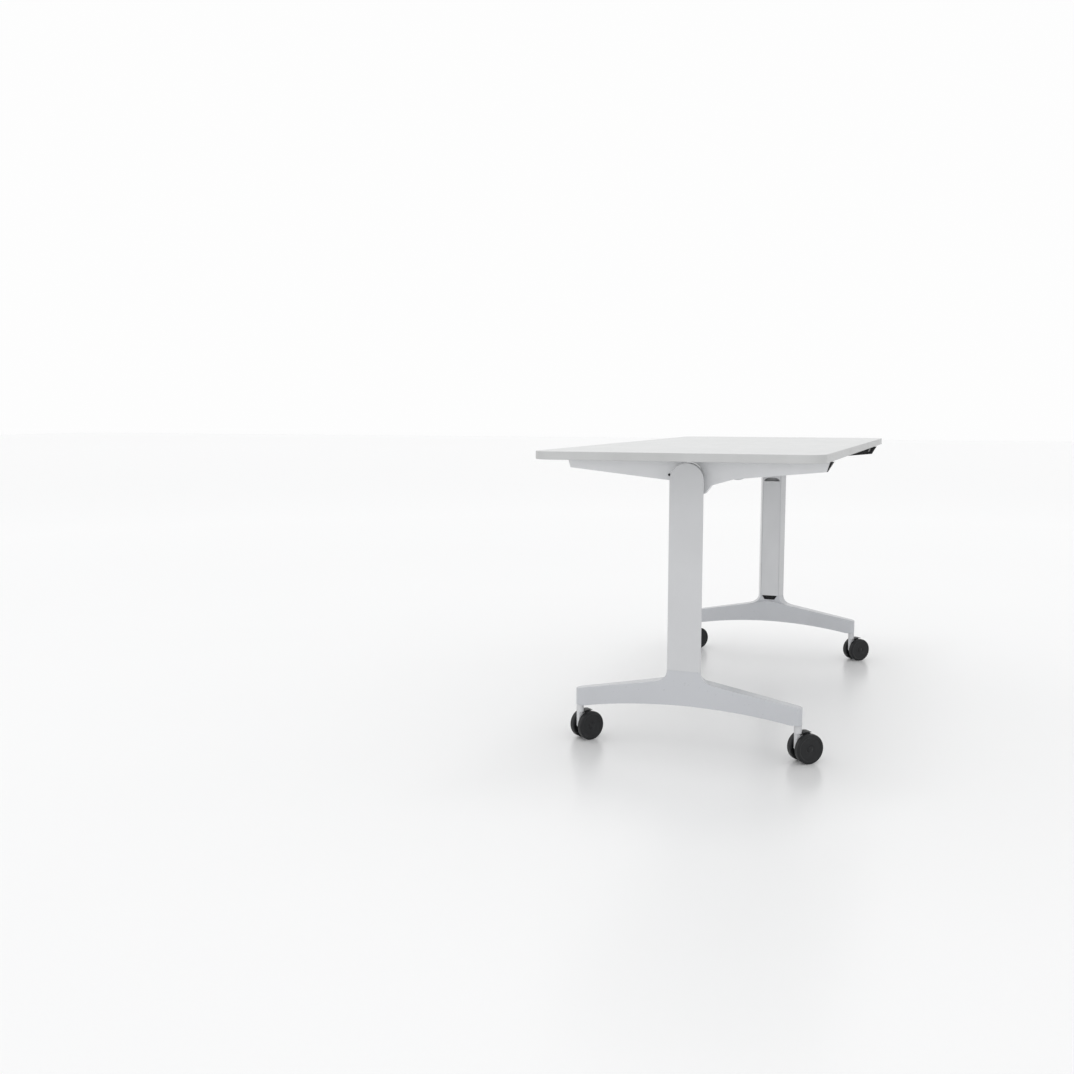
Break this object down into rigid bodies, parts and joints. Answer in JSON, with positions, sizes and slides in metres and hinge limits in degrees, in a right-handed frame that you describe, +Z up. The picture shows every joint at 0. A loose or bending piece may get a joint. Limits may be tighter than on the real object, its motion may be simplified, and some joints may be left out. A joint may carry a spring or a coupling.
{
  "type": "flip top training table",
  "caption": "Rectangular flip top training table: white worktop on wheeled T-legs joined by a tube, tilting upright for nesting by pull levers under its front edge.",
  "frame": {"origin": "on the floor, under the middle of the worktop", "axes": "+X along the worktop, -Y towards the user's side with the release levers, +Z up"},
  "size_m": [1.6, 0.7, 0.76],
  "materials": {
    "worktop": "white melamine-faced board",
    "edge_band": "satin light grey edge band",
    "frame_paint": "satin light grey powder coat",
    "foot_paint": "satin cool grey powder coat",
    "grey_plastic": "satin light grey moulding",
    "black_plastic": "satin black moulding",
    "black_metal": "black oxide",
    "rubber": "light grey rubber",
    "steel": "bright zinc plate",
    "bronze": "plain bearing bronze"
  },
  "bodies": {
    "frame": {"cross_tube": "frame_paint", "tube_support_ring": "grey_plastic", "left_foot": "foot_paint", "left_column": "frame_paint", "left_column_cover": "grey_plastic", "left_column_head": "frame_paint", "left_tie_bolt": "steel", "left_rest_pad": "rubber", "left_pivot_pin": "black_metal", "right_foot": "foot_paint", "right_column": "frame_paint", "right_column_cover": "grey_plastic", "right_column_head": "frame_paint", "right_tie_bolt": "steel", "right_rest_pad": "rubber", "right_pivot_pin": "black_metal"},
    "top": {"worktop_board": "worktop", "worktop_edge_band": "edge_band", "left_arm": "frame_paint", "left_pivot_bush": "bronze", "left_latch_cover": "frame_paint", "left_lever_pin": "steel", "left_rear_arm_screw": "steel", "left_front_arm_screw": "steel", "left_latch_spring": "steel", "right_arm": "frame_paint", "right_pivot_bush": "bronze", "right_latch_cover": "frame_paint", "right_lever_pin": "steel", "right_rear_arm_screw": "steel", "right_front_arm_screw": "steel", "right_latch_spring": "steel"},
    "left_lever": {"left_release_lever": "black_plastic"},
    "left_latch": {"left_latch_bolt": "black_metal", "left_pull_rod": "black_metal"},
    "right_lever": {"right_release_lever": "black_plastic"},
    "right_latch": {"right_latch_bolt": "black_metal", "right_pull_rod": "black_metal"},
    "front_left_castor": {"front_left_castor_post": "grey_plastic", "front_left_castor_hood": "black_plastic", "front_left_castor_axle": "steel"},
    "front_left_left_wheel": {"front_left_left_wheel": "black_plastic"},
    "front_left_right_wheel": {"front_left_right_wheel": "black_plastic"},
    "front_right_castor": {"front_right_castor_post": "grey_plastic", "front_right_castor_hood": "black_plastic", "front_right_castor_axle": "steel"},
    "front_right_left_wheel": {"front_right_left_wheel": "black_plastic"},
    "front_right_right_wheel": {"front_right_right_wheel": "black_plastic"},
    "rear_left_castor": {"rear_left_castor_post": "grey_plastic", "rear_left_castor_hood": "black_plastic", "rear_left_castor_axle": "steel"},
    "rear_left_left_wheel": {"rear_left_left_wheel": "black_plastic"},
    "rear_left_right_wheel": {"rear_left_right_wheel": "black_plastic"},
    "rear_right_castor": {"rear_right_castor_post": "grey_plastic", "rear_right_castor_hood": "black_plastic", "rear_right_castor_axle": "steel"},
    "rear_right_left_wheel": {"rear_right_left_wheel": "black_plastic"},
    "rear_right_right_wheel": {"rear_right_right_wheel": "black_plastic"}
  },
  "joints": [
    {"name": "top_flip", "type": "hinge", "parent": "frame", "child": "top", "pos_m": [0, 0.053, 0.698], "axis": [-1, 0, 0], "range_deg": [0, 90]},
    {"name": "left_lever_pull", "type": "hinge", "parent": "top", "child": "left_lever", "pos_m": [-0.5955, -0.262, 0.712], "axis": [1, 0, 0], "range_deg": [0, 24], "stiffness_Nm_per_rad": 0.3, "springref_deg": -28.65},
    {"name": "left_latch_slide", "type": "slide", "parent": "top", "child": "left_latch", "axis": [0, -0.9874, 0.1583], "range_m": [0, 0.007], "deforming": ["left_latch_spring"]},
    {"name": "right_lever_pull", "type": "hinge", "parent": "top", "child": "right_lever", "pos_m": [0.5955, -0.262, 0.712], "axis": [1, 0, 0], "range_deg": [0, 24], "stiffness_Nm_per_rad": 0.3, "springref_deg": -28.65},
    {"name": "right_latch_slide", "type": "slide", "parent": "top", "child": "right_latch", "axis": [0, -0.9874, 0.1583], "range_m": [0, 0.007], "deforming": ["right_latch_spring"]},
    {"name": "front_left_castor_swivel", "type": "hinge", "parent": "frame", "child": "front_left_castor", "pos_m": [-0.616, -0.281, 0.095], "axis": [0, 0, 1], "continuous": true},
    {"name": "front_left_left_wheel_roll", "type": "hinge", "parent": "front_left_castor", "child": "front_left_left_wheel", "pos_m": [-0.61339, -0.30826, 0.0375], "axis": [0.7431, 0.6691, 0], "continuous": true},
    {"name": "front_left_right_wheel_roll", "type": "hinge", "parent": "front_left_castor", "child": "front_left_right_wheel", "pos_m": [-0.58917, -0.28644, 0.0375], "axis": [0.7431, 0.6691, 0], "continuous": true},
    {"name": "front_right_castor_swivel", "type": "hinge", "parent": "frame", "child": "front_right_castor", "pos_m": [0.616, -0.281, 0.095], "axis": [0, 0, 1], "continuous": true},
    {"name": "front_right_left_wheel_roll", "type": "hinge", "parent": "front_right_castor", "child": "front_right_left_wheel", "pos_m": [0.61908, -0.30821, 0.0375], "axis": [0.7314, 0.682, 0], "continuous": true},
    {"name": "front_right_right_wheel_roll", "type": "hinge", "parent": "front_right_castor", "child": "front_right_right_wheel", "pos_m": [0.64292, -0.28597, 0.0375], "axis": [0.7314, 0.682, 0], "continuous": true},
    {"name": "rear_left_castor_swivel", "type": "hinge", "parent": "frame", "child": "rear_left_castor", "pos_m": [-0.616, 0.281, 0.095], "axis": [0, 0, 1], "continuous": true},
    {"name": "rear_left_left_wheel_roll", "type": "hinge", "parent": "rear_left_castor", "child": "rear_left_left_wheel", "pos_m": [-0.60733, 0.25503, 0.0375], "axis": [0.5736, 0.8192, 0], "continuous": true},
    {"name": "rear_left_right_wheel_roll", "type": "hinge", "parent": "rear_left_castor", "child": "rear_left_right_wheel", "pos_m": [-0.58863, 0.28173, 0.0375], "axis": [0.5736, 0.8192, 0], "continuous": true},
    {"name": "rear_right_castor_swivel", "type": "hinge", "parent": "frame", "child": "rear_right_castor", "pos_m": [0.616, 0.281, 0.095], "axis": [0, 0, 1], "continuous": true},
    {"name": "rear_right_left_wheel_roll", "type": "hinge", "parent": "rear_right_castor", "child": "rear_right_left_wheel", "pos_m": [0.62144, 0.25417, 0.0375], "axis": [0.6691, 0.7431, 0], "continuous": true},
    {"name": "rear_right_right_wheel_roll", "type": "hinge", "parent": "rear_right_castor", "child": "rear_right_right_wheel", "pos_m": [0.64326, 0.27839, 0.0375], "axis": [0.6691, 0.7431, 0], "continuous": true}
  ],
  "couplings": [
    {"joint": "left_latch_slide", "follows": "left_lever_pull", "m_per_rad": 0.016234},
    {"joint": "right_latch_slide", "follows": "right_lever_pull", "m_per_rad": 0.016234}
  ]
}
